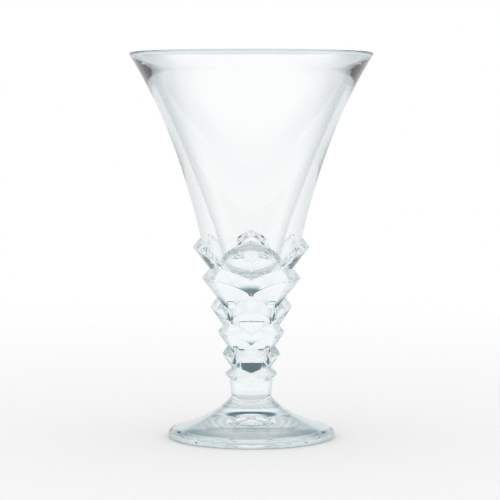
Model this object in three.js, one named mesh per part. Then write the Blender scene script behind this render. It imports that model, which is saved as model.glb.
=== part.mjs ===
// Dessert coupe in clear pressed glass: a round flared bowl held in a cup of leaves, a tapering stem of
// leaf knops, a short plain neck and a round foot.
// Millimetres, +Z up. The coupe stands on Z = 0 with its axis on Z, and its front faces -Y.
import * as THREE from "three";

// Foot: a skirt that sweeps out from the neck to a rounded edge. Inside a flat ring, a deep hollow follows
// the skirt underneath.
const FOOT_RADIUS = 39.4;
const FOOT_HEIGHT = 18.7;
const FOOT_TOP_RADIUS = 9.9;
const FOOT_EDGE_HEIGHT = 4.8;
const FOOT_EDGE_WIDEST = 1.9;
const FOOT_EDGE_ROUND = 3.4;
const FOOT_UNDER_ROUND = 1.8;
const FOOT_RING_WIDTH = 2.8;
const FLARE_OUT = 4.6;
const FLARE_DROP = 5.5;
const SKIRT_REACH = 12.5;
const SKIRT_RISE = 3.2;
const HOLLOW_DEPTH = 7.4;
const HOLLOW_CROWN_REACH = 12.0;
const HOLLOW_SKIRT_REACH = 12.8;
const HOLLOW_SKIRT_RISE = 3.4;

// Neck: a slightly waisted drum between the foot and the lowest knop
const NECK_HEIGHT = 6.05;
const NECK_TOP_RADIUS = 10.1;
const NECK_WAIST = 9.2;

// Welds between the portions: a flat round seat on the axis, and a hairline at the visible crease
const SEAT_RADIUS = 6.0;
const SEAM = 0.3;

// Leaf knops, numbered from the neck up. A leaf's, knot's or notch's rise is measured up from the tier's
// lower seat, and a crease's, where the next tier up begins, from its upper seat. The lowest tier's leaves
// start at a hem, where the neck's round side ends.
const KNOP_1_HEIGHT = 6.25;
const KNOP_1_HEM_KNOT_RADIUS = 10.0;
const KNOP_1_HEM_KNOT_RISE = 0.7;
const KNOP_1_HEM_LEAF_RADIUS = 10.2;
const KNOP_1_HEM_LEAF_RISE = 2.4;
const KNOP_1_HEM_SIDE_RADIUS = 10.1;
const KNOP_1_HEM_SIDE_RISE = 2.7;
const KNOP_1_KNOT_RADIUS = 9.6;
const KNOP_1_KNOT_RISE = 1.95;
const KNOP_1_LEAF_RADIUS = 13.0;
const KNOP_1_LEAF_RISE = 5.45;
const KNOP_1_NOTCH_RADIUS = 12.2;
const KNOP_1_NOTCH_RISE = 4.55;
const KNOP_1_SIDE_LEAF_RADIUS = 12.5;
const KNOP_1_SIDE_LEAF_RISE = 5.55;
const KNOP_1_CREASE_KNOT_RADIUS = 9.3;
const KNOP_1_CREASE_KNOT_RISE = 0.2;
const KNOP_1_CREASE_LEAF_RADIUS = 9.9;
const KNOP_1_CREASE_LEAF_RISE = 2.6;
const KNOP_1_CREASE_SIDE_RADIUS = 9.1;
const KNOP_1_CREASE_SIDE_RISE = 1.7;
const KNOP_2_HEIGHT = 7.5;
const KNOP_2_LEAF_RADIUS = 13.9;
const KNOP_2_LEAF_RISE = 8.4;
const KNOP_2_KNOT_RADIUS = 10.1;
const KNOP_2_KNOT_RISE = 3.4;
const KNOP_2_CREASE_LEAF_RADIUS = 11.0;
const KNOP_2_CREASE_LEAF_RISE = 5.0;
const KNOP_2_CREASE_KNOT_RADIUS = 9.6;
const KNOP_2_CREASE_KNOT_RISE = 0.4;
const KNOP_2_CREASE_SIDE_RADIUS = 11.1;
const KNOP_2_CREASE_SIDE_RISE = 4.6;
const KNOP_3_HEIGHT = 11.5;
const KNOP_3_KNOT_RADIUS = 11.4;
const KNOP_3_KNOT_RISE = 6.7;
const KNOP_3_LEAF_RADIUS = 16.3;
const KNOP_3_LEAF_RISE = 11.5;
const KNOP_3_NOTCH_RADIUS = 14.9;
const KNOP_3_NOTCH_RISE = 10.0;
const KNOP_3_SIDE_LEAF_RADIUS = 16.0;
const KNOP_3_SIDE_LEAF_RISE = 11.4;
const KNOP_3_CREASE_KNOT_RADIUS = 11.8;
const KNOP_3_CREASE_KNOT_RISE = 0.6;
const KNOP_3_CREASE_LEAF_RADIUS = 13.5;
const KNOP_3_CREASE_LEAF_RISE = 4.6;
const KNOP_3_CREASE_SIDE_RADIUS = 13.3;
const KNOP_3_CREASE_SIDE_RISE = 2.8;
const KNOP_4_HEIGHT = 10.0;
const KNOP_4_LEAF_RADIUS = 19.3;
const KNOP_4_LEAF_RISE = 11.8;
const KNOP_4_KNOT_RADIUS = 13.4;
const KNOP_4_KNOT_RISE = 5.6;
const KNOP_4_CREASE_LEAF_RADIUS = 16.1;
const KNOP_4_CREASE_LEAF_RISE = 7.4;
const KNOP_4_CREASE_KNOT_RADIUS = 13.4;
const KNOP_4_CREASE_KNOT_RISE = 0.6;
const KNOP_4_CREASE_SIDE_RADIUS = 16.3;
const KNOP_4_CREASE_SIDE_RISE = 6.2;
const KNOP_5_HEIGHT = 11.0;
const KNOP_5_KNOT_RADIUS = 16.0;
const KNOP_5_KNOT_RISE = 8.7;
const KNOP_5_LEAF_RADIUS = 24.1;
const KNOP_5_LEAF_RISE = 15.6;
const KNOP_5_NOTCH_RADIUS = 22.2;
const KNOP_5_NOTCH_RISE = 13.4;
const KNOP_5_SIDE_LEAF_RADIUS = 23.5;
const KNOP_5_SIDE_LEAF_RISE = 15.6;
const KNOP_5_CREASE_KNOT_RADIUS = 16.3;
const KNOP_5_CREASE_KNOT_RISE = 4.5;
const KNOP_5_CREASE_LEAF_RADIUS = 20.0;
const KNOP_5_CREASE_LEAF_RISE = 9.6;
const KNOP_5_CREASE_SIDE_RADIUS = 19.7;
const KNOP_5_CREASE_SIDE_RISE = 8.9;

// Where each tip and knot lies: at the front and back, on the diagonals and at the sides. The odd knops
// have a second, shallow knot, the notch, between their diagonal and side leaves.
const LEAF_KNOPS = [
  {
    name: "leaf_knop_1",
    height: KNOP_1_HEIGHT,
    hem: {
      front: [KNOP_1_HEM_KNOT_RADIUS, KNOP_1_HEM_KNOT_RISE],
      diagonal: [KNOP_1_HEM_LEAF_RADIUS, KNOP_1_HEM_LEAF_RISE],
      side: [KNOP_1_HEM_SIDE_RADIUS, KNOP_1_HEM_SIDE_RISE],
    },
    ridge: {
      front: [KNOP_1_KNOT_RADIUS, KNOP_1_KNOT_RISE],
      diagonal: [KNOP_1_LEAF_RADIUS, KNOP_1_LEAF_RISE],
      between: [KNOP_1_NOTCH_RADIUS, KNOP_1_NOTCH_RISE],
      side: [KNOP_1_SIDE_LEAF_RADIUS, KNOP_1_SIDE_LEAF_RISE],
    },
    crease: {
      front: [KNOP_1_CREASE_KNOT_RADIUS, KNOP_1_CREASE_KNOT_RISE],
      diagonal: [KNOP_1_CREASE_LEAF_RADIUS, KNOP_1_CREASE_LEAF_RISE],
      side: [KNOP_1_CREASE_SIDE_RADIUS, KNOP_1_CREASE_SIDE_RISE],
    },
  },
  {
    name: "leaf_knop_2",
    height: KNOP_2_HEIGHT,
    ridge: {
      front: [KNOP_2_LEAF_RADIUS, KNOP_2_LEAF_RISE],
      diagonal: [KNOP_2_KNOT_RADIUS, KNOP_2_KNOT_RISE],
      side: [KNOP_2_LEAF_RADIUS, KNOP_2_LEAF_RISE],
    },
    crease: {
      front: [KNOP_2_CREASE_LEAF_RADIUS, KNOP_2_CREASE_LEAF_RISE],
      diagonal: [KNOP_2_CREASE_KNOT_RADIUS, KNOP_2_CREASE_KNOT_RISE],
      side: [KNOP_2_CREASE_SIDE_RADIUS, KNOP_2_CREASE_SIDE_RISE],
    },
  },
  {
    name: "leaf_knop_3",
    height: KNOP_3_HEIGHT,
    ridge: {
      front: [KNOP_3_KNOT_RADIUS, KNOP_3_KNOT_RISE],
      diagonal: [KNOP_3_LEAF_RADIUS, KNOP_3_LEAF_RISE],
      between: [KNOP_3_NOTCH_RADIUS, KNOP_3_NOTCH_RISE],
      side: [KNOP_3_SIDE_LEAF_RADIUS, KNOP_3_SIDE_LEAF_RISE],
    },
    crease: {
      front: [KNOP_3_CREASE_KNOT_RADIUS, KNOP_3_CREASE_KNOT_RISE],
      diagonal: [KNOP_3_CREASE_LEAF_RADIUS, KNOP_3_CREASE_LEAF_RISE],
      side: [KNOP_3_CREASE_SIDE_RADIUS, KNOP_3_CREASE_SIDE_RISE],
    },
  },
  {
    name: "leaf_knop_4",
    height: KNOP_4_HEIGHT,
    ridge: {
      front: [KNOP_4_LEAF_RADIUS, KNOP_4_LEAF_RISE],
      diagonal: [KNOP_4_KNOT_RADIUS, KNOP_4_KNOT_RISE],
      side: [KNOP_4_LEAF_RADIUS, KNOP_4_LEAF_RISE],
    },
    crease: {
      front: [KNOP_4_CREASE_LEAF_RADIUS, KNOP_4_CREASE_LEAF_RISE],
      diagonal: [KNOP_4_CREASE_KNOT_RADIUS, KNOP_4_CREASE_KNOT_RISE],
      side: [KNOP_4_CREASE_SIDE_RADIUS, KNOP_4_CREASE_SIDE_RISE],
    },
  },
  {
    name: "leaf_knop_5",
    height: KNOP_5_HEIGHT,
    ridge: {
      front: [KNOP_5_KNOT_RADIUS, KNOP_5_KNOT_RISE],
      diagonal: [KNOP_5_LEAF_RADIUS, KNOP_5_LEAF_RISE],
      between: [KNOP_5_NOTCH_RADIUS, KNOP_5_NOTCH_RISE],
      side: [KNOP_5_SIDE_LEAF_RADIUS, KNOP_5_SIDE_LEAF_RISE],
    },
    crease: {
      front: [KNOP_5_CREASE_KNOT_RADIUS, KNOP_5_CREASE_KNOT_RISE],
      diagonal: [KNOP_5_CREASE_LEAF_RADIUS, KNOP_5_CREASE_LEAF_RISE],
      side: [KNOP_5_CREASE_SIDE_RADIUS, KNOP_5_CREASE_SIDE_RISE],
    },
  },
];
const LEAF_ROUND_SHARE = 0.55; // 0 gives straight leaf edges, 1 gives fully rounded leaf tips

// Calyx: four broad leaves round the bottom of the bowl. Reaches are measured out from the bowl's wall.
const CALYX_FLOOR = 3.5;
const CALYX_TIP_HEIGHT = 15.7;
const CALYX_TIP_REACH = 4.9;
const CALYX_KNOT_HEIGHT = 7.5;
const CALYX_KNOT_REACH = 1.1;
const CALYX_LEAF_TOP = 20.2;
const CALYX_LEAF_GAP = 10.4;

// Bowl: a trumpet whose wall thins towards a rounded lip, with a soft ledge inside under the lip. Heights are
// measured from the bowl's seat.
const BOWL_HEIGHT = 107.3;
const BOWL_LIP_RADIUS = 57.5;
const BOWL_LIP_ROUND = 0.8;
const BOWL_SHOULDER_RADIUS = 24.0;
const BOWL_SHOULDER_HEIGHT = 20.2;
const BOWL_HEEL_RADIUS = 20.0;
const BOWL_HEEL_HEIGHT = 3.0;
const BOWL_SIDE_RUN = 28.6;
const BOWL_SIDE_SLOPE = 0.235;
const BOWL_MOUTH_SLOPE = 0.62;
const BOWL_FLOOR = 5.2;
const CAVITY_BASE_RADIUS = 14.5;
const CAVITY_BASE_HEIGHT = 10.3;
const CAVITY_BASE_RUN = 32.0;
const CAVITY_BASE_SLOPE = 0.344;
const LEDGE_REACH = 5.4;
const LEDGE_DEPTH = 7.5;
const LEDGE_SLOPE = 0.8;
const LEDGE_RUN = 12.0;
const LEDGE_MOUTH_RUN = 3.0;
const LEDGE_SHELF_RUN = 2.0;

// Facets round the axis. A multiple of sixteen puts every leaf tip and knot on a facet's corner.
const FACETS = 48;

const GLASS_COLOUR = 0xe4eef0;

const neckLevel = FOOT_HEIGHT;
const stemLevel = neckLevel + NECK_HEIGHT;

function glass() {
  return new THREE.MeshStandardMaterial({
    color: GLASS_COLOUR,
    roughness: 0.04,
    metalness: 0,
    transparent: true,
    opacity: 0.35,
  });
}

function point(radius, height) {
  return new THREE.Vector2(radius, height);
}

// Joins curves, each with its number of steps, into one outline without repeated points
function outline(stretches) {
  const points = [];
  for (const [curve, steps] of stretches) {
    for (const next of curve.getPoints(steps)) {
      const last = points.at(-1);
      if (!last || last.distanceTo(next) > 1e-6) {
        points.push(next);
      }
    }
  }
  return points;
}

function line(from, to) {
  return [new THREE.LineCurve(from, to), 1];
}

function sweep(from, pull, to, steps) {
  return [new THREE.QuadraticBezierCurve(from, pull, to), steps];
}

// A round piece turned from an outline that starts and ends on the axis
function turned(name, points) {
  const geometry = new THREE.LatheGeometry(points, FACETS);
  geometry.rotateX(Math.PI / 2);
  const mesh = new THREE.Mesh(geometry, glass());
  mesh.name = name;
  return mesh;
}

function makeFoot() {
  const top = point(FOOT_TOP_RADIUS, FOOT_HEIGHT);
  const brow = point(FOOT_RADIUS - FOOT_EDGE_ROUND, FOOT_EDGE_HEIGHT);
  const widest = point(FOOT_RADIUS, FOOT_EDGE_WIDEST);
  const ringOuter = point(FOOT_RADIUS - FOOT_UNDER_ROUND, 0);
  const ringInner = point(ringOuter.x - FOOT_RING_WIDTH, 0);
  const edgePull = point(FOOT_RADIUS, brow.y - FOOT_EDGE_ROUND * SKIRT_RISE / SKIRT_REACH);
  const hollow = new THREE.CubicBezierCurve(
    point(0, HOLLOW_DEPTH),
    point(HOLLOW_CROWN_REACH, HOLLOW_DEPTH),
    point(ringInner.x - HOLLOW_SKIRT_REACH, HOLLOW_SKIRT_RISE),
    ringInner,
  );
  const skirt = new THREE.CubicBezierCurve(
    brow,
    point(brow.x - SKIRT_REACH, brow.y + SKIRT_RISE),
    point(top.x + FLARE_OUT, top.y - FLARE_DROP),
    top,
  );
  return turned("foot", outline([
    [hollow, 8],
    line(ringInner, ringOuter),
    sweep(ringOuter, point(FOOT_RADIUS, 0), widest, 3),
    sweep(widest, edgePull, brow, 4),
    [skirt, 9],
    line(top, point(0, FOOT_HEIGHT)),
  ]));
}

function makeNeck() {
  const bottom = point(FOOT_TOP_RADIUS, neckLevel);
  const top = point(NECK_TOP_RADIUS, stemLevel);
  const waist = point(NECK_WAIST, neckLevel + NECK_HEIGHT / 2);
  return turned("stem_neck", outline([
    line(point(0, neckLevel), bottom),
    sweep(bottom, waist, top, 4),
    line(top, point(0, stemLevel)),
  ]));
}

// The height above the bowl's seat and the radius of the bowl's lower outside, from its seat to its
// shoulder, as one curve that the calyx follows
const bowlHeel = new THREE.QuadraticBezierCurve(
  point(SEAT_RADIUS, 0),
  point(BOWL_HEEL_RADIUS, BOWL_HEEL_HEIGHT),
  point(BOWL_SHOULDER_RADIUS, BOWL_SHOULDER_HEIGHT),
);

// Where along the heel curve the wall has climbed to a height, by solving the curve's height for it
function heelShare(height) {
  const bend = BOWL_SHOULDER_HEIGHT - 2 * BOWL_HEEL_HEIGHT;
  const root = Math.sqrt(BOWL_HEEL_HEIGHT ** 2 + bend * height);
  return height / (BOWL_HEEL_HEIGHT + root);
}

function heelRadius(height) {
  return bowlHeel.getPoint(heelShare(height)).x;
}

function makeBowl(level) {
  const seat = point(SEAT_RADIUS, level);
  const shoulder = point(BOWL_SHOULDER_RADIUS, level + BOWL_SHOULDER_HEIGHT);
  const lipLevel = level + BOWL_HEIGHT - BOWL_LIP_ROUND;
  const lipOuter = point(BOWL_LIP_RADIUS, lipLevel);
  const lipInner = point(BOWL_LIP_RADIUS - 2 * BOWL_LIP_ROUND, lipLevel);
  const cavityFloor = level + BOWL_FLOOR;
  const cavityBase = point(CAVITY_BASE_RADIUS, cavityFloor + CAVITY_BASE_HEIGHT);
  const side = new THREE.CubicBezierCurve(
    shoulder,
    point(shoulder.x + BOWL_SIDE_SLOPE * BOWL_SIDE_RUN, shoulder.y + BOWL_SIDE_RUN),
    point(lipOuter.x - BOWL_MOUTH_SLOPE * BOWL_SIDE_RUN, lipOuter.y - BOWL_SIDE_RUN),
    lipOuter,
  );
  const lip = new THREE.EllipseCurve(
    lipOuter.x - BOWL_LIP_ROUND,
    lipLevel,
    BOWL_LIP_ROUND,
    BOWL_LIP_ROUND,
    0,
    Math.PI,
  );
  const ledge = point(lipInner.x - LEDGE_REACH, lipLevel - LEDGE_DEPTH);
  const mouth = new THREE.CubicBezierCurve(
    lipInner,
    point(lipInner.x - BOWL_MOUTH_SLOPE * LEDGE_MOUTH_RUN, lipInner.y - LEDGE_MOUTH_RUN),
    point(ledge.x + LEDGE_SLOPE * LEDGE_SHELF_RUN, ledge.y + LEDGE_SHELF_RUN),
    ledge,
  );
  const cavity = new THREE.CubicBezierCurve(
    ledge,
    point(ledge.x - LEDGE_SLOPE * LEDGE_RUN, ledge.y - LEDGE_RUN),
    point(cavityBase.x + CAVITY_BASE_SLOPE * CAVITY_BASE_RUN, cavityBase.y + CAVITY_BASE_RUN),
    cavityBase,
  );
  const cavityPull = point(cavityBase.x - CAVITY_BASE_SLOPE * CAVITY_BASE_HEIGHT, cavityFloor);
  const heel = bowlHeel.getPoints(8).map((p) => point(p.x, p.y + level));
  return turned("bowl", [
    point(0, level),
    seat,
    ...heel.slice(1),
    ...outline([
      [side, 10],
      [lip, 6],
      [mouth, 4],
      [cavity, 9],
      sweep(cavityBase, cavityPull, point(0, cavityFloor), 5),
    ]).slice(1),
  ]);
}

// Direction round the axis folded into one quarter: 0 at the front and back, 90 degrees at the sides
function quarterAngle(step) {
  const half = (step * 360 / FACETS) % 180;
  return half > 90 ? 180 - half : half;
}

// Radius and height of a leaf edge in each direction: rounded over the high tips, sharp at the low knots
function leafEdge(stops) {
  const placed = [[0, stops.front], [45, stops.diagonal], [90, stops.side]];
  if (stops.between) {
    placed.splice(2, 0, [67.5, stops.between]);
  }
  return (step) => {
    const angle = quarterAngle(step);
    const next = Math.max(1, placed.findIndex(([stopAngle]) => stopAngle >= angle));
    const [fromAngle, from] = placed[next - 1];
    const [toAngle, to] = placed[next];
    const along = (angle - fromAngle) / (toAngle - fromAngle);
    const [tip, knot, share] = from[1] > to[1] ? [from, to, along] : [to, from, 1 - along];
    const fall = THREE.MathUtils.lerp(1 - share, Math.cos(share * Math.PI / 2), LEAF_ROUND_SHARE);
    return [
      THREE.MathUtils.lerp(knot[0], tip[0], fall),
      THREE.MathUtils.lerp(knot[1], tip[1], fall),
    ];
  };
}

// One ring of corners, from the radius and height that edge gives in each direction
function ring(edge, level) {
  const corners = [];
  for (let step = 0; step < FACETS; step += 1) {
    const turn = step * 2 * Math.PI / FACETS;
    const [radius, height] = edge(step);
    corners.push(new THREE.Vector3(radius * Math.sin(turn), -radius * Math.cos(turn), level + height));
  }
  return corners;
}

function seatRing(level, radius = SEAT_RADIUS) {
  return ring(() => [radius, 0], level);
}

// A closed solid through rings that climb its outside, with a flat disc closing the first and last ring
function ringSolid(name, rings) {
  const corners = rings.flat();
  const low = corners.push(new THREE.Vector3(0, 0, rings[0][0].z)) - 1;
  const high = corners.push(new THREE.Vector3(0, 0, rings.at(-1)[0].z)) - 1;
  const lastRing = (rings.length - 1) * FACETS;
  const faces = [];
  for (let step = 0; step < FACETS; step += 1) {
    const beside = (step + 1) % FACETS;
    faces.push(low, beside, step, high, lastRing + step, lastRing + beside);
    for (let start = 0; start < lastRing; start += FACETS) {
      const [a, b] = [start + step, start + beside];
      const [c, d] = [b + FACETS, a + FACETS];
      if (corners[a].distanceTo(corners[c]) < corners[b].distanceTo(corners[d])) {
        faces.push(a, b, c, a, c, d);
      } else {
        faces.push(a, b, d, b, c, d);
      }
    }
  }
  const geometry = new THREE.BufferGeometry().setFromPoints(corners);
  geometry.setIndex(faces);
  geometry.computeVertexNormals();
  const mesh = new THREE.Mesh(geometry, glass());
  mesh.name = name;
  return mesh;
}

// The rings where a tier starts on the crease below it
function creaseRings(below, level) {
  return [seatRing(level), ring(leafEdge(below.crease), level + SEAM / 2)];
}

// The rings where the lowest tier stands flat on the neck and carries its round side up to the hem
function hemRings(hem, level) {
  return [seatRing(level, NECK_TOP_RADIUS), ring(leafEdge(hem), level)];
}

function makeKnop(knop, below, level) {
  const top = level + knop.height;
  return ringSolid(knop.name, [
    ...(knop.hem ? hemRings(knop.hem, level) : creaseRings(below, level)),
    ring(leafEdge(knop.ridge), level),
    ring(leafEdge(knop.crease), top - SEAM / 2),
    seatRing(top),
  ]);
}

// The calyx's socket keeps the hairline clear of the bowl's heel, square to its wall
function socketPoint(height) {
  const share = heelShare(height);
  const along = bowlHeel.getTangent(share);
  const wall = bowlHeel.getPoint(share);
  return [wall.x + SEAM * along.y, wall.y - SEAM * along.x];
}

function makeCalyx(below, level) {
  const bowlLevel = level + CALYX_FLOOR;
  const tip = [heelRadius(CALYX_TIP_HEIGHT) + CALYX_TIP_REACH, CALYX_TIP_HEIGHT];
  const knot = [heelRadius(CALYX_KNOT_HEIGHT) + CALYX_KNOT_REACH, CALYX_KNOT_HEIGHT];
  const ridge = { front: tip, diagonal: knot, side: tip };
  const leafTop = leafEdge({
    front: [0, CALYX_LEAF_TOP],
    diagonal: [0, CALYX_LEAF_GAP],
    side: [0, CALYX_LEAF_TOP],
  });
  const socketSteps = 8;
  const socket = [];
  for (let down = socketSteps; down > 0; down -= 1) {
    const share = (down / socketSteps) ** 2;
    socket.push(ring((step) => socketPoint(share * leafTop(step)[1]), bowlLevel));
  }
  return ringSolid("leaf_calyx", [
    ...creaseRings(below, level),
    ring(leafEdge(ridge), bowlLevel),
    ...socket,
    seatRing(bowlLevel),
  ]);
}

const coupe = new THREE.Group();
coupe.add(makeFoot(), makeNeck());
let level = stemLevel;
let below = null;
for (const knop of LEAF_KNOPS) {
  coupe.add(makeKnop(knop, below, level));
  level += knop.height;
  below = knop;
}
coupe.add(makeCalyx(below, level), makeBowl(level + CALYX_FLOOR));

export default coupe;
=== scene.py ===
# %% [markdown]
# # A pressed-glass dessert coupe
#
# The real coupe is one pressing of clear glass: a thick trumpet bowl, a calyx of four leaves under it, a
# stem of five leaf knops, a short neck and a round foot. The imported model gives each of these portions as
# its own node. Here every portion is modelled again with finer curves and rounded ridges, and then all of
# them get one glass finish, so that light runs through the whole coupe as it does through the real one.

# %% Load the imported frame
import math

import bmesh
import bpy
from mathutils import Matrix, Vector
from mathutils.geometry import interpolate_bezier


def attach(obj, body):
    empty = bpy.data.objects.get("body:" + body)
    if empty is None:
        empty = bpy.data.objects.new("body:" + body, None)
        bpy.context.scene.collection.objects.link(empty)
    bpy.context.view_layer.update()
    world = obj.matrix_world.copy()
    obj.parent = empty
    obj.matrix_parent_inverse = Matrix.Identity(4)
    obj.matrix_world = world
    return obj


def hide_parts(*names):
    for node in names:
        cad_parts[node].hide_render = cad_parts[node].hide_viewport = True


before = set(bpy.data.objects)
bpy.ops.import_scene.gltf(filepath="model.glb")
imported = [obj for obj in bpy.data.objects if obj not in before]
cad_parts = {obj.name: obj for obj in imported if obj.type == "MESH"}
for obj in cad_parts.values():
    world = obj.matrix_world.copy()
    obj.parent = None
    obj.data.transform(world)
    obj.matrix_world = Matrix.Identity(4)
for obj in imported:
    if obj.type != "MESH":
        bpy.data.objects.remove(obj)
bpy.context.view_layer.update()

# %% [markdown]
# ## Turning a round portion
#
# Foot, neck and bowl are round, so each is an outline spun about the axis, as glass is turned in a mould.
# The outline runs from the axis round the outside and back to the axis. Each of its points keeps its row
# number through the spin, which lets a later step reach one row all the way round. 128 steps put every
# leaf tip and every knot of the stem on a step of its own.

# %% Outline curves and the spin
MM = 0.001
SPIN_STEPS = 128
MERGE_DISTANCE = 0.001 * MM


def curve(start, pull_start, pull_end, end, steps):
    corners = [Vector(corner).to_3d() for corner in (start, pull_start, pull_end, end)]
    return [(point.x, point.y) for point in interpolate_bezier(*corners, steps + 1)]


def bend(start, pull, end, steps):
    middle = Vector(pull)
    pull_start = Vector(start).lerp(middle, 2 / 3)
    pull_end = Vector(end).lerp(middle, 2 / 3)
    return curve(start, pull_start, pull_end, end, steps)


def spin_rows(outline):
    mesh = bmesh.new()
    row = mesh.verts.layers.int.new("row")
    points = []
    for number, (radius, height) in enumerate(outline):
        point = mesh.verts.new((0, -radius * MM, height * MM))
        point[row] = number
        points.append(point)
    edges = [mesh.edges.new(pair) for pair in zip(points, points[1:])]
    full_turn = 2 * math.pi
    bmesh.ops.spin(
        mesh, geom=points + edges, axis=(0, 0, 1), cent=(0, 0, 0),
        angle=full_turn, steps=SPIN_STEPS, use_merge=True,
    )
    bmesh.ops.remove_doubles(mesh, verts=mesh.verts, dist=MERGE_DISTANCE)
    bmesh.ops.recalc_face_normals(mesh, faces=mesh.faces)
    return mesh, row


# %% [markdown]
# ## The colour of thick and thin glass, with painted shade at the lip and the foot's edge
#
# Clear glass has a faint cold tint that deepens with the length of glass that light crosses: the foot and
# the stem look tinted, the bowl's wall is almost clear, and the lip, which is looked into edge on, is deep
# again. At the lip and the foot's edge the colour goes deeper than that: it is part glass tint and part
# painted shade, a dark line along the rim and a dark band round the foot's edge. A volume shader could work
# the tint out, but the portions here touch at see-through welds, which would upset it. So the tint and the
# painted shade are chosen by height, with one colour ramp from the floor up to the lip.

# %% Tint by height in millimetres
# The foot-edge and lip colours are partly painted shade: a dark band round the foot's edge and a dark line
# along the rim.
FOOT_EDGE_TINT_AND_PAINTED_SHADE = (0.83, 0.90, 0.915, 1)
FOOT_TINT = (0.88, 0.93, 0.94, 1)
STEM_TINT = (0.91, 0.95, 0.955, 1)
WALL_TINT = (0.99, 0.997, 0.999, 1)
LIP_TINT_AND_PAINTED_SHADE = (0.72, 0.80, 0.82, 1)
TINT_TOP = 182.0
TINT_STOPS = [
    (0.0, FOOT_EDGE_TINT_AND_PAINTED_SHADE), (3.4, FOOT_EDGE_TINT_AND_PAINTED_SHADE), (6.0, FOOT_TINT), (14.0, FOOT_TINT), (24.0, STEM_TINT),
    (78.0, STEM_TINT), (92.0, WALL_TINT), (179.6, WALL_TINT), (180.8, LIP_TINT_AND_PAINTED_SHADE), (TINT_TOP, LIP_TINT_AND_PAINTED_SHADE),
]


def ramp(nodes, stops, low, high):
    node = nodes.new("ShaderNodeValToRGB")
    elements = node.color_ramp.elements
    for place, colour in stops:
        if place == low:
            stop = elements[0]
        elif place == high:
            stop = elements[len(elements) - 1]
        else:
            stop = elements.new((place - low) / (high - low))
        stop.color = colour
    return node


print("tint stops from floor to lip:", len(TINT_STOPS))

# %% [markdown]
# ## The pressed surface
#
# Fire-polished pressed glass is not optically flat. The mould and the fire leave a slow waviness and small
# changes in polish. Both could be modelled, but they are far finer than the mesh, so a node group works
# them out from the object's own coordinates and hands on the tint, the polish and the wave.

# %% The surface group
WAVE_SCALE = 55
WAVE_DETAIL = 1
HAZE_SCALE = 240
MOST_HAZE = 0.01
LEAST_TINT = 0.99


def surface_group():
    group = bpy.data.node_groups.new("pressed_glass_surface", "ShaderNodeTree")
    outputs = {"Tint": "NodeSocketColor", "Polish": "NodeSocketFloat", "Wave": "NodeSocketFloat"}
    for label, kind in outputs.items():
        group.interface.new_socket(label, in_out="OUTPUT", socket_type=kind)
    nodes, links = group.nodes, group.links
    place = nodes.new("ShaderNodeTexCoord")
    wave = nodes.new("ShaderNodeTexNoise")
    wave.inputs["Scale"].default_value = WAVE_SCALE
    wave.inputs["Detail"].default_value = WAVE_DETAIL
    haze = nodes.new("ShaderNodeTexNoise")
    haze.inputs["Scale"].default_value = HAZE_SCALE
    polish = nodes.new("ShaderNodeMapRange")
    polish.inputs["To Min"].default_value = 0.0
    polish.inputs["To Max"].default_value = MOST_HAZE
    split = nodes.new("ShaderNodeSeparateXYZ")
    height = nodes.new("ShaderNodeMapRange")
    height.inputs["From Max"].default_value = TINT_TOP * MM
    # This ramp gives the glass tint by height, and painted shade at the lip and the foot's edge.
    height_tint_and_shade = ramp(nodes, TINT_STOPS, 0.0, TINT_TOP)
    uneven = nodes.new("ShaderNodeMapRange")
    uneven.inputs["To Min"].default_value = LEAST_TINT
    uneven.inputs["To Max"].default_value = 1.0
    tint = nodes.new("ShaderNodeVectorMath")
    tint.operation = "SCALE"
    out = nodes.new("NodeGroupOutput")
    for noise in (wave, haze):
        links.new(place.outputs["Object"], noise.inputs["Vector"])
    links.new(haze.outputs["Fac"], polish.inputs["Value"])
    links.new(place.outputs["Object"], split.inputs["Vector"])
    links.new(split.outputs["Z"], height.inputs["Value"])
    links.new(height.outputs["Result"], height_tint_and_shade.inputs["Fac"])
    links.new(wave.outputs["Fac"], uneven.inputs["Value"])
    links.new(height_tint_and_shade.outputs["Color"], tint.inputs[0])
    links.new(uneven.outputs["Result"], tint.inputs["Scale"])
    links.new(tint.outputs["Vector"], out.inputs["Tint"])
    links.new(polish.outputs["Result"], out.inputs["Polish"])
    links.new(wave.outputs["Fac"], out.inputs["Wave"])
    return group


SURFACE = surface_group()
print("surface group:", len(SURFACE.nodes), "nodes")

# %% [markdown]
# ## The glass and the welds inside it
#
# The glass is one Principled shader with full transmission. Where two portions meet there is no surface in
# the real coupe, only glass. The faces that close each portion there could be deleted, but then the pieces
# would be open shells. They take a second material that light crosses as if nothing were there.
#
# Glass that is met at a flat angle is crossed the long way, so its edge looks a little darker. In white
# light a bowl has hardly any other outline, so the tint deepens near the edge with Layer Weight's Facing,
# and more than the longer way alone would do: the edge colour is part glass tint and part painted shade, a
# dark outline drawn round the bowl, the leaves and the foot.

# %% The two materials
GLASS_IOR = 1.52
WAVE_STRENGTH = 0.25
WAVE_DEPTH = 0.08 * MM
# The edge colour is partly painted shade: a dark outline at flat angles, deeper than the glass's own tint.
EDGE_TINT_AND_PAINTED_SHADE = (0.18, 0.28, 0.32, 1)
EDGE_START = 0.35


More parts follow.
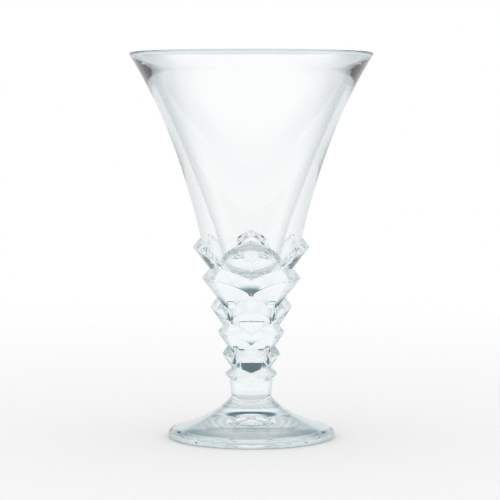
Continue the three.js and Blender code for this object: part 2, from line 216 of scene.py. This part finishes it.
def glass_material():
    material = bpy.data.materials.new("clear_pressed_glass")
    material.use_nodes = True
    nodes, links = material.node_tree.nodes, material.node_tree.links
    glass = nodes["Principled BSDF"]
    glass.inputs["Transmission Weight"].default_value = 1.0
    glass.inputs["IOR"].default_value = GLASS_IOR
    surface = nodes.new("ShaderNodeGroup")
    surface.node_tree = SURFACE
    bump = nodes.new("ShaderNodeBump")
    bump.inputs["Strength"].default_value = WAVE_STRENGTH
    bump.inputs["Distance"].default_value = WAVE_DEPTH
    facing = nodes.new("ShaderNodeLayerWeight")
    edge = nodes.new("ShaderNodeMapRange")
    edge.inputs["From Min"].default_value = EDGE_START
    deeper = nodes.new("ShaderNodeMix")
    deeper.data_type = "RGBA"
    deeper.blend_type = "MULTIPLY"
    deeper.inputs["B"].default_value = EDGE_TINT_AND_PAINTED_SHADE
    links.new(facing.outputs["Facing"], edge.inputs["Value"])
    links.new(edge.outputs["Result"], deeper.inputs["Factor"])
    links.new(surface.outputs["Tint"], deeper.inputs["A"])
    links.new(deeper.outputs["Result"], glass.inputs["Base Color"])
    links.new(surface.outputs["Polish"], glass.inputs["Roughness"])
    links.new(surface.outputs["Wave"], bump.inputs["Height"])
    links.new(bump.outputs["Normal"], glass.inputs["Normal"])
    return material


def weld_material():
    material = bpy.data.materials.new("welded_glass_inside")
    material.use_nodes = True
    material.node_tree.nodes["Principled BSDF"].inputs["Alpha"].default_value = 0.0
    return material


GLASS = glass_material()
WELD = weld_material()
print("materials:", GLASS.name, "and", WELD.name)

# %% [markdown]
# ## Finishing a portion
#
# Every portion ends the same way: smooth shading with the true edges kept sharp, glass outside and weld
# inside, a name taken from the imported node it stands for, and that node hidden. The row numbers say
# which strips are welds.

# %% Finish a portion
SHARP_ANGLE = math.radians(32)


def finish_portion(node, mesh, row, weld_strips):
    for face in mesh.faces:
        face.smooth = True
        strip = min(point[row] for point in face.verts)
        face.material_index = int(strip in weld_strips)
    mesh.verts.layers.int.remove(row)
    data = bpy.data.meshes.new(node + "_glass")
    mesh.to_mesh(data)
    mesh.free()
    data.set_sharp_from_angle(angle=SHARP_ANGLE)
    data.materials.append(GLASS)
    data.materials.append(WELD)
    piece = bpy.data.objects.new(node + "_glass", data)
    bpy.context.scene.collection.objects.link(piece)
    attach(piece, "root")
    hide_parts(node)
    print(f"{piece.name}: {len(data.vertices)} points, {len(data.polygons)} faces")


# %% [markdown]
# ## Foot and neck
#
# The foot is a skirt that sweeps out from the neck to a rounded edge. It stands on a flat ring, and inside
# that ring a hollow follows the skirt, as in pressed feet, so that it doesn't rock and cools evenly. The
# hollow is what bends the light into the ellipse seen through the foot. The neck is a drum with a slight
# waist. The flat discs where foot, neck and stem meet are welds.

# %% Foot and neck
FOOT_RADIUS = 39.4
FOOT_TOP = (9.9, 18.7)
FOOT_BROW = (36.0, 4.8)
FOOT_WIDEST = (FOOT_RADIUS, 1.9)
SKIRT_PULL = (23.5, 8.0)
FLARE_PULL = (14.5, 13.2)
RING_OUTER = (37.6, 0.0)
RING_INNER = (34.8, 0.0)
HOLLOW_TOP = (0.0, 7.4)
HOLLOW_CROWN_PULL = (12.0, 7.4)
HOLLOW_SKIRT_PULL = (22.0, 3.4)
NECK_TOP = (10.1, 24.75)
NECK_WAIST = 9.2
HOLLOW_STEPS, UNDER_STEPS, EDGE_STEPS, SKIRT_STEPS, NECK_STEPS = 24, 6, 8, 28, 8

skirt_slope = (SKIRT_PULL[1] - FOOT_BROW[1]) / (FOOT_BROW[0] - SKIRT_PULL[0])
edge_pull = (FOOT_RADIUS, FOOT_BROW[1] - skirt_slope * (FOOT_RADIUS - FOOT_BROW[0]))
foot_outline = curve(HOLLOW_TOP, HOLLOW_CROWN_PULL, HOLLOW_SKIRT_PULL, RING_INNER, HOLLOW_STEPS)
foot_outline += bend(RING_OUTER, (FOOT_RADIUS, 0.0), FOOT_WIDEST, UNDER_STEPS)
foot_outline += bend(FOOT_WIDEST, edge_pull, FOOT_BROW, EDGE_STEPS)[1:]
foot_outline += curve(FOOT_BROW, SKIRT_PULL, FLARE_PULL, FOOT_TOP, SKIRT_STEPS)[1:]
foot_disc = len(foot_outline) - 1
foot_outline.append((0.0, FOOT_TOP[1]))
finish_portion("foot", *spin_rows(foot_outline), {foot_disc})

neck_outline = [(0.0, FOOT_TOP[1])]
neck_middle = (FOOT_TOP[1] + NECK_TOP[1]) / 2
neck_outline += bend(FOOT_TOP, (NECK_WAIST, neck_middle), NECK_TOP, NECK_STEPS)
neck_disc = len(neck_outline) - 1
neck_outline.append((0.0, NECK_TOP[1]))
finish_portion("stem_neck", *spin_rows(neck_outline), {0, neck_disc})

# %% [markdown]
# ## Leaf edges
#
# Each tier of the stem is a ring of leaves. A leaf edge runs high and far out at a tip and dips low and
# close in at a knot. Tips and knots sit at the front and back, on the diagonals and at the sides, so one
# quarter of the ring says everything. The odd tiers carry a second, shallow knot between the diagonal
# leaf and the side leaf. Tips are blended between a straight gable and a round arch.

# %% Leaf edges from a few stops
LEAF_ROUND = 0.55
FRONT, DIAGONAL, BETWEEN, SIDE = 0.0, 45.0, 67.5, 90.0


def quarter_angle(place):
    turn = math.degrees(math.atan2(abs(place.x), abs(place.y)))
    return min(max(turn, FRONT), SIDE)


def leaf_edge(stops, level):
    placed = sorted(stops.items())

    def edge(angle):
        for (from_angle, start), (to_angle, end) in zip(placed, placed[1:]):
            if angle <= to_angle:
                break
        along = (angle - from_angle) / (to_angle - from_angle)
        tip, knot, share = (start, end, along) if start[1] > end[1] else (end, start, 1 - along)
        gable = 1 - share
        arch = math.cos(share * math.pi / 2)
        fall = gable + (arch - gable) * LEAF_ROUND
        low = Vector(knot)
        return low.lerp(Vector(tip), fall) + Vector((0, level))

    return edge


# %% [markdown]
# ## Leaf tiers
#
# A tier starts as a plain spun drum, one row of points for every line that runs round it: the seat, the
# crease it grows from, the ridge of its leaves, and the crease where the next tier begins. Then each row
# is moved onto its leaf edge. Pressed glass has no sharp ridges, so the ridge is five rows that follow a
# round, and the upper face of each leaf swells a little.

# %% Shape a tier from its edges
SEAT_RADIUS = 6.0
RIDGE_ROUND = 0.5
RIDGE_SHARE = 0.45
LEAF_SWELL = 0.15
ROUND_SHARES = (0.0, 0.25, 0.5, 0.75, 1.0)
SWELL_SHARES = (0.25, 0.5, 0.75)


def leaf_rows(lower, ridge, upper):
    def at_round(share):
        def edge(angle):
            low, tip, high = lower(angle), ridge(angle), upper(angle)
            reach = min(RIDGE_ROUND, RIDGE_SHARE * (low - tip).length, RIDGE_SHARE * (high - tip).length)
            start = tip + (low - tip).normalized() * reach
            end = tip + (high - tip).normalized() * reach
            return start.lerp(tip, share).lerp(tip.lerp(end, share), share)
        return edge

    def at_swell(share):
        last_round = at_round(1.0)

        def edge(angle):
            start, end = last_round(angle), upper(angle)
            along = end - start
            out = Vector((along.y, -along.x)).normalized()
            return start.lerp(end, share) + out * LEAF_SWELL * 4 * share * (1 - share)
        return edge

    return [at_round(share) for share in ROUND_SHARES] + [at_swell(share) for share in SWELL_SHARES]


def fixed(radius, height):
    return lambda angle: Vector((radius, height))


def shape_tier(node, rows, weld_strips):
    mesh, row = spin_rows([tuple(edge(FRONT)) for edge in rows])
    for point in mesh.verts:
        across = point.co.to_2d()
        if across.length > MERGE_DISTANCE:
            radius, height = rows[point[row]](quarter_angle(point.co))
            across = across.normalized() * radius * MM
            point.co = (across.x, across.y, height * MM)
    bmesh.ops.recalc_face_normals(mesh, faces=mesh.faces)
    finish_portion(node, mesh, row, weld_strips)


# %% [markdown]
# ## The five knops
#
# Bottom to top the knops grow in width and in height. Ridge stops are measured from the tier's lower
# seat and crease stops from its upper seat, each as radius and height in millimetres. On the first, third
# and fifth knop the leaves stand on the diagonals and at the sides, with a deep knot at the front; on the
# second and fourth they stand at the front and the sides, with the knots on the diagonals. Under the first
# knop the leaves end in a wavy hem over the neck, and only the flat disc on the neck is a weld.

# %% Knops
KNOPS = [
    ("leaf_knop_1", 6.25,
     {FRONT: (9.6, 1.95), DIAGONAL: (13.0, 5.45), BETWEEN: (12.2, 4.55), SIDE: (12.5, 5.55)},
     {FRONT: (9.3, 0.2), DIAGONAL: (9.9, 2.6), SIDE: (9.1, 1.7)}),
    ("leaf_knop_2", 7.5,
     {FRONT: (13.9, 8.4), DIAGONAL: (10.1, 3.4), SIDE: (13.9, 8.4)},
     {FRONT: (11.0, 5.0), DIAGONAL: (9.6, 0.4), SIDE: (11.1, 4.6)}),
    ("leaf_knop_3", 11.5,
     {FRONT: (11.4, 6.7), DIAGONAL: (16.3, 11.5), BETWEEN: (14.9, 10.0), SIDE: (16.0, 11.4)},
     {FRONT: (11.8, 0.6), DIAGONAL: (13.5, 4.6), SIDE: (13.3, 2.8)}),
    ("leaf_knop_4", 10.0,
     {FRONT: (19.3, 11.8), DIAGONAL: (13.4, 5.6), SIDE: (19.3, 11.8)},
     {FRONT: (16.1, 7.4), DIAGONAL: (13.4, 0.6), SIDE: (16.3, 6.2)}),
    ("leaf_knop_5", 11.0,
     {FRONT: (16.0, 8.7), DIAGONAL: (24.1, 15.6), BETWEEN: (22.2, 13.4), SIDE: (23.5, 15.6)},
     {FRONT: (16.3, 4.5), DIAGONAL: (20.0, 9.6), SIDE: (19.7, 8.9)}),
]

HEM = {FRONT: (10.0, 0.7), DIAGONAL: (10.2, 2.4), SIDE: (10.1, 2.7)}

seat = NECK_TOP[1]
lower_edge = leaf_edge(HEM, seat)
for node, height, ridge_stops, crease_stops in KNOPS:
    top = seat + height
    crease = leaf_edge(crease_stops, top)
    first = node == KNOPS[0][0]
    seat_radius = NECK_TOP[0] if first else SEAT_RADIUS
    start = [fixed(0.0, seat), fixed(seat_radius, seat), lower_edge]
    leaves = leaf_rows(lower_edge, leaf_edge(ridge_stops, seat), crease)
    rows = start + leaves + [crease, fixed(SEAT_RADIUS, top), fixed(0.0, top)]
    lower_welds = {0} if first else {0, 1}
    upper_welds = {len(rows) - 3, len(rows) - 2}
    shape_tier(node, rows, lower_welds | upper_welds)
    seat = top
    lower_edge = crease

# %% [markdown]
# ## The bowl's outside
#
# The heel of the bowl curves up out of its seat to the shoulder, and from there the wall flares to the
# lip. The calyx leaves lie on the heel, so both pieces need the wall's radius at any height. It is read
# from a fine run of points along the two curves.

# %% Radius of the bowl's outside at a height
CALYX_FLOOR = 3.5
bowl_seat = seat + CALYX_FLOOR
SHOULDER = (24.0, bowl_seat + 20.2)
LIP_ROUND = 0.8
LIP_OUTER = (57.5, 181.0)
HEEL_PULL = (20.0, bowl_seat + 3.0)
SIDE_RUN = 28.6
SIDE_SLOPE = 0.235
MOUTH_SLOPE = 0.62
OUTSIDE_STEPS = 120

heel_line = bend((SEAT_RADIUS, bowl_seat), HEEL_PULL, SHOULDER, OUTSIDE_STEPS)
side_line = curve(
    SHOULDER,
    (SHOULDER[0] + SIDE_SLOPE * SIDE_RUN, SHOULDER[1] + SIDE_RUN),
    (LIP_OUTER[0] - MOUTH_SLOPE * SIDE_RUN, LIP_OUTER[1] - SIDE_RUN),
    LIP_OUTER, OUTSIDE_STEPS,
)
outside_line = heel_line + side_line[1:]


def outside_at(height):
    for (r0, z0), (r1, z1) in zip(outside_line, outside_line[1:]):
        if height <= z1:
            break
    return Vector((r0 + (r1 - r0) * (height - z0) / (z1 - z0), height))


print("shoulder of the bowl, radius and height in millimetres:", SHOULDER)

# %% [markdown]
# ## The calyx
#
# Four broad leaves hold the bowl. Their ridges stand out from the wall, and above the ridge each leaf
# closes on the bowl along a wavy line. Below that line bowl and calyx are one glass, so the calyx's
# socket and the bowl's heel share the same rows of points, and both are welds.

# %% Calyx
LEAF_TOP_STOPS = {FRONT: (0.0, 20.2), DIAGONAL: (0.0, 10.4), SIDE: (0.0, 20.2)}
TIP_HEIGHT, TIP_REACH = 15.7, 4.9
KNOT_HEIGHT, KNOT_REACH = 7.5, 1.1
SOCKET_ROWS = 8

leaf_tip = (outside_at(bowl_seat + TIP_HEIGHT).x + TIP_REACH, TIP_HEIGHT)
leaf_knot = (outside_at(bowl_seat + KNOT_HEIGHT).x + KNOT_REACH, KNOT_HEIGHT)
calyx_ridge = leaf_edge({FRONT: leaf_tip, DIAGONAL: leaf_knot, SIDE: leaf_tip}, bowl_seat)
leaf_top = leaf_edge(LEAF_TOP_STOPS, 0.0)


def socket_row(number):
    share = (number / SOCKET_ROWS) ** 2
    return lambda angle: outside_at(bowl_seat + share * leaf_top(angle).y)


socket = [socket_row(number) for number in range(1, SOCKET_ROWS + 1)]
start = [fixed(0.0, seat), fixed(SEAT_RADIUS, seat), lower_edge]
leaves = leaf_rows(lower_edge, calyx_ridge, socket[-1])
end = [fixed(SEAT_RADIUS, bowl_seat), fixed(0.0, bowl_seat)]
rows = start + leaves + socket[::-1] + end
first_weld = len(start) + len(leaves)
calyx_welds = {0, 1} | set(range(first_weld, len(rows) - 1))
shape_tier("leaf_calyx", rows, calyx_welds)

# %% [markdown]
# ## The bowl
#
# From the socket rows the outside climbs through a few rows that even out the wavy line, then up the
# wall to the lip, which is a half round. Inside, the mouth drops to a soft ledge where the thin lip turns
# into the thick wall, and from there the hollow narrows to a cone well above the leaves.

# %% Bowl
EVEN_LEVEL = bowl_seat + 26.0
EVEN_ROWS = 4
WALL_ROWS = 30
LIP_STEPS = 12
LIP_INNER = (LIP_OUTER[0] - 2 * LIP_ROUND, LIP_OUTER[1])
CAVITY_FLOOR = bowl_seat + 5.2
CAVITY_BASE_HEIGHT = 10.3
CAVITY_BASE = (14.5, CAVITY_FLOOR + CAVITY_BASE_HEIGHT)
CAVITY_SLOPE = 0.344
CAVITY_RUN = 32.0
LEDGE = (LIP_INNER[0] - 5.4, LIP_INNER[1] - 7.5)
LEDGE_SLOPE = 0.8
LEDGE_RUN = 12.0
MOUTH_RUN = 3.0
SHELF_RUN = 2.0
LEDGE_STEPS, CAVITY_STEPS, FLOOR_STEPS = 14, 32, 16


def even_row(number):
    share = number / EVEN_ROWS

    def edge(angle):
        from_height = bowl_seat + leaf_top(angle).y
        return outside_at(from_height + (EVEN_LEVEL - from_height) * share)
    return edge


def wall_row(number):
    height = EVEN_LEVEL + (LIP_OUTER[1] - EVEN_LEVEL) * number / WALL_ROWS
    return fixed(*outside_at(height))


def lip_row(number):
    turn = math.pi * number / LIP_STEPS
    middle = LIP_OUTER[0] - LIP_ROUND
    return fixed(middle + LIP_ROUND * math.cos(turn), LIP_OUTER[1] + LIP_ROUND * math.sin(turn))


cavity_line = curve(
    LIP_INNER,
    (LIP_INNER[0] - MOUTH_SLOPE * MOUTH_RUN, LIP_INNER[1] - MOUTH_RUN),
    (LEDGE[0] + LEDGE_SLOPE * SHELF_RUN, LEDGE[1] + SHELF_RUN),
    LEDGE, LEDGE_STEPS,
)
cavity_line += curve(
    LEDGE,
    (LEDGE[0] - LEDGE_SLOPE * LEDGE_RUN, LEDGE[1] - LEDGE_RUN),
    (CAVITY_BASE[0] + CAVITY_SLOPE * CAVITY_RUN, CAVITY_BASE[1] + CAVITY_RUN),
    CAVITY_BASE, CAVITY_STEPS,
)[1:]
cavity_pull = (CAVITY_BASE[0] - CAVITY_SLOPE * CAVITY_BASE_HEIGHT, CAVITY_FLOOR)
cavity_line += bend(CAVITY_BASE, cavity_pull, (0.0, CAVITY_FLOOR), FLOOR_STEPS)[1:]

rows = [fixed(0.0, bowl_seat), fixed(SEAT_RADIUS, bowl_seat)] + socket
bowl_welds = set(range(len(rows) - 1))
rows += [even_row(number) for number in range(1, EVEN_ROWS + 1)]
rows += [wall_row(number) for number in range(1, WALL_ROWS + 1)]
rows += [lip_row(number) for number in range(1, LIP_STEPS)]
rows += [fixed(*point) for point in cavity_line]
shape_tier("bowl", rows, bowl_welds)

# %% [markdown]
# ## The floor
#
# The coupe stands on a plain pale floor that keeps its soft shadow. A floor with an edge would draw a line
# across the picture, so this one fades out with distance from the coupe and leaves the white room behind
# it. In life the light that passes through the foot falls on the floor under it and brightens it again. The
# renderer loses most of that light, so glass and reflections see the floor's plain colour for the larger
# part, and the camera sees the floor with its whole shadow.

# %% Floor
FLOOR_RADIUS = 0.7
FADE_START = 0.16
FLOOR_DROP = 0.05 * MM
FLOOR_SIDES = 96
FLOOR_COLOUR = (0.95, 0.95, 0.95, 1)
FLOOR_FILL = 0.6
WHITE = (1.0, 1.0, 1.0, 1)


def floor_material():
    material = bpy.data.materials.new("pale_floor")
    material.use_nodes = True
    nodes, links = material.node_tree.nodes, material.node_tree.links
    pale = nodes["Principled BSDF"]
    pale.inputs["Base Color"].default_value = FLOOR_COLOUR
    pale.inputs["Roughness"].default_value = 1.0
    pale.inputs["Specular IOR Level"].default_value = 0.0
    place = nodes.new("ShaderNodeTexCoord")
    away = nodes.new("ShaderNodeVectorMath")
    away.operation = "LENGTH"
    fade = nodes.new("ShaderNodeMapRange")
    fade.interpolation_type = "SMOOTHSTEP"
    fade.inputs["From Min"].default_value = FADE_START
    fade.inputs["From Max"].default_value = FLOOR_RADIUS
    fade.inputs["To Min"].default_value = 1.0
    fade.inputs["To Max"].default_value = 0.0
    links.new(place.outputs["Object"], away.inputs[0])
    links.new(away.outputs["Value"], fade.inputs["Value"])
    links.new(fade.outputs["Result"], pale.inputs["Alpha"])
    path = nodes.new("ShaderNodeLightPath")
    by_glass = nodes.new("ShaderNodeMath")
    by_glass.operation = "MAXIMUM"
    share = nodes.new("ShaderNodeMath")
    share.operation = "MULTIPLY"
    share.inputs[1].default_value = FLOOR_FILL
    plain = nodes.new("ShaderNodeEmission")
    plain.inputs["Color"].default_value = FLOOR_COLOUR
    both = nodes.new("ShaderNodeMixShader")
    links.new(path.outputs["Is Glossy Ray"], by_glass.inputs[0])
    links.new(path.outputs["Is Transmission Ray"], by_glass.inputs[1])
    links.new(by_glass.outputs["Value"], share.inputs[0])
    links.new(share.outputs["Value"], both.inputs["Fac"])
    links.new(pale.outputs["BSDF"], both.inputs[1])
    links.new(plain.outputs["Emission"], both.inputs[2])
    links.new(both.outputs["Shader"], nodes["Material Output"].inputs["Surface"])
    return material


floor_mesh = bmesh.new()
bmesh.ops.create_circle(floor_mesh, cap_ends=True, segments=FLOOR_SIDES, radius=FLOOR_RADIUS)
floor_data = bpy.data.meshes.new("floor")
floor_mesh.to_mesh(floor_data)
floor_mesh.free()
floor_data.materials.append(floor_material())
floor = bpy.data.objects.new("floor", floor_data)
floor.location.z = -FLOOR_DROP
bpy.context.scene.collection.objects.link(floor)
print("floor radius, metres:", FLOOR_RADIUS)

# %% [markdown]
# ## The light
#
# The light is a plain white room, the same all round. Only high up does a soft darker ring run round it,
# like a ceiling between the walls and a skylight. Clear glass in all-white light has no outline, and the
# ring gives the leaves, the foot and the lip something to bend. It could be made with lamps, but a world
# that goes by height alone has no edges. Camera, reflections and glass see the same world, so what shows
# through the bowl is the background itself. The light that falls on the floor is plain white, so the floor
# renders about as its colour is written.

# %% World by height above the horizon
PALE = (0.70, 0.81, 0.86, 1)
BLUE = (0.22, 0.35, 0.42, 1)
DEEP = (0.06, 0.12, 0.14, 1)
# Degrees above the horizon
NADIR, ZENITH = -90, 90
ROOM = [
    (NADIR, WHITE), (14, WHITE), (18, PALE), (21, BLUE), (24, DEEP),
    (33, DEEP), (37, BLUE), (42, WHITE), (ZENITH, WHITE),
]


def room_world():
    world = bpy.data.worlds.new("white_room")
    world.use_nodes = True
    nodes, links = world.node_tree.nodes, world.node_tree.links
    place = nodes.new("ShaderNodeTexCoord")
    split = nodes.new("ShaderNodeSeparateXYZ")
    climb = nodes.new("ShaderNodeMath")
    climb.operation = "ARCSINE"
    share = nodes.new("ShaderNodeMapRange")
    share.inputs["From Min"].default_value = math.radians(NADIR)
    share.inputs["From Max"].default_value = math.radians(ZENITH)
    room = ramp(nodes, ROOM, NADIR, ZENITH)
    path = nodes.new("ShaderNodeLightPath")
    by_glass = nodes.new("ShaderNodeMath")
    by_glass.operation = "MAXIMUM"
    seen = nodes.new("ShaderNodeMath")
    seen.operation = "MAXIMUM"
    light = nodes.new("ShaderNodeMix")
    light.data_type = "RGBA"
    light.inputs["A"].default_value = WHITE
    links.new(place.outputs["Generated"], split.inputs["Vector"])
    links.new(split.outputs["Z"], climb.inputs[0])
    links.new(climb.outputs["Value"], share.inputs["Value"])
    links.new(share.outputs["Result"], room.inputs["Fac"])
    links.new(path.outputs["Is Glossy Ray"], by_glass.inputs[0])
    links.new(path.outputs["Is Transmission Ray"], by_glass.inputs[1])
    links.new(path.outputs["Is Camera Ray"], seen.inputs[0])
    links.new(by_glass.outputs["Value"], seen.inputs[1])
    links.new(seen.outputs["Value"], light.inputs["Factor"])
    links.new(room.outputs["Color"], light.inputs["B"])
    links.new(light.outputs["Result"], nodes["Background"].inputs["Color"])
    return world


bpy.context.scene.world = room_world()
print("world:", bpy.context.scene.world.name)

# %% [markdown]
# ## Camera
#
# The photo was taken from a little under the rim's level, close to straight on, about a metre away.

# %% Camera
CAMERA_PLACE = Vector((0.0, -0.966, 0.154))
CAMERA_AIM = Vector((-0.0006, 0.0, 0.0887))
SENSOR_WIDTH = 36.0
LENS_LENGTH = 147.3

camera_data = bpy.data.cameras.new("camera")
camera_data.sensor_width = SENSOR_WIDTH
camera_data.lens = LENS_LENGTH
camera = bpy.data.objects.new("camera", camera_data)
camera.location = CAMERA_PLACE
camera.rotation_euler = (CAMERA_AIM - CAMERA_PLACE).to_track_quat("-Z", "Y").to_euler()
bpy.context.scene.collection.objects.link(camera)
bpy.context.scene.camera = camera
bpy.context.scene.view_settings.view_transform = "Standard"
print("camera distance, metres:", round((CAMERA_AIM - CAMERA_PLACE).length, 3))

# %% [markdown]
# ## Light paths
#
# A ray can cross many glass walls here: two walls of the bowl, leaves in front of leaves, and the welds
# between tiers. The path limits are raised so that such rays reach the room.

# %% Light paths
cycles = bpy.context.scene.cycles
cycles.max_bounces = 64
cycles.transmission_bounces = 48
cycles.glossy_bounces = 32
cycles.transparent_max_bounces = 64
